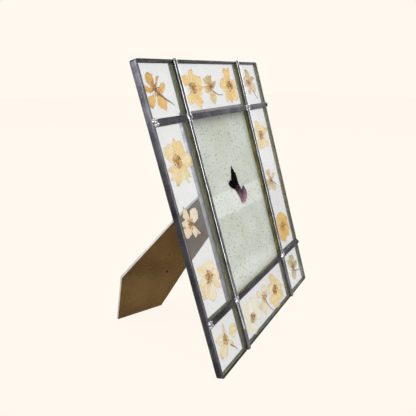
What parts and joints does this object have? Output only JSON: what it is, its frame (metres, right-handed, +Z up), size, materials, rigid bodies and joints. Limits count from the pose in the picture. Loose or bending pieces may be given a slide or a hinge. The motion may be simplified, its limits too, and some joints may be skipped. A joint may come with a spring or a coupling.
{
  "type": "pressed flower frame",
  "caption": "Leaded glass picture frame with pressed flowers between its outer panes and a paper centre, leaning on a folding easel leg.",
  "frame": {"origin": "middle of the worn flat on the bottom rim, on the surface that the frame stands on", "axes": "+Z up, +X to the right as seen from the front, +Y backwards, towards the easel leg"},
  "size_m": [0.202, 0.1374, 0.2393],
  "materials": {
    "lead_came": "aged pewter grey with bright worn solder",
    "rear_channel": "dull zinc grey",
    "pane_glass": "clear polished",
    "petal_tan": "dry, thin, brown-tipped",
    "petal_gold": "dry, thin, brown-tipped",
    "petal_cream": "dry, thin, partly see-through",
    "dried_dark": "dry, matte, mauve and black",
    "insert_paper": "speckled grey-green matte",
    "hardboard": "brown hardboard with a torn paper edge",
    "hinge_steel": "plain steel"
  },
  "bodies": {
    "frame": {"backing_board": "hardboard", "bar_high_left": "lead_came", "bar_high_middle": "lead_came", "bar_high_right": "lead_came", "bar_low_left": "lead_came", "bar_low_middle": "lead_came", "bar_low_right": "lead_came", "came_left": "lead_came", "came_right": "lead_came", "channel_bottom": "rear_channel", "channel_left": "rear_channel", "channel_right": "rear_channel", "dried_flower": "dried_dark", "flower_bottom_left": "petal_cream", "flower_bottom_mid_left": "petal_cream", "flower_bottom_mid_right": "petal_gold", "flower_bottom_middle": "petal_cream", "flower_bottom_right": "petal_tan", "flower_left_high": "petal_gold", "flower_left_low": "petal_cream", "flower_left_middle": "petal_cream", "flower_right_high": "petal_gold", "flower_right_low": "petal_tan", "flower_right_middle": "petal_cream", "flower_top_left": "petal_tan", "flower_top_mid_left": "petal_gold", "flower_top_mid_right": "petal_gold", "flower_top_middle": "petal_cream", "flower_top_right": "petal_cream", "glass_back_bottom_left": "pane_glass", "glass_back_bottom_middle": "pane_glass", "glass_back_bottom_right": "pane_glass", "glass_back_centre_left": "pane_glass", "glass_back_centre_right": "pane_glass", "glass_back_top_left": "pane_glass", "glass_back_top_middle": "pane_glass", "glass_back_top_right": "pane_glass", "glass_centre": "pane_glass", "glass_front_bottom_left": "pane_glass", "glass_front_bottom_middle": "pane_glass", "glass_front_bottom_right": "pane_glass", "glass_front_centre_left": "pane_glass", "glass_front_centre_right": "pane_glass", "glass_front_top_left": "pane_glass", "glass_front_top_middle": "pane_glass", "glass_front_top_right": "pane_glass", "hinge_leaf_board": "hinge_steel", "hinge_pin": "hinge_steel", "loose_petal": "petal_cream", "paper_insert": "insert_paper", "rim_bottom": "lead_came", "rim_left": "lead_came", "rim_right": "lead_came", "rim_top": "lead_came"},
    "leg": {"leg": "hardboard", "hinge_leaf_leg": "hinge_steel"}
  },
  "joints": [
    {"name": "leg_fold", "type": "hinge", "parent": "frame", "child": "leg", "pos_m": [0.0054, 0.04564, 0.14357], "axis": [0.7408, -0.1827, -0.6464], "range_deg": [-40.7, 0]}
  ]
}
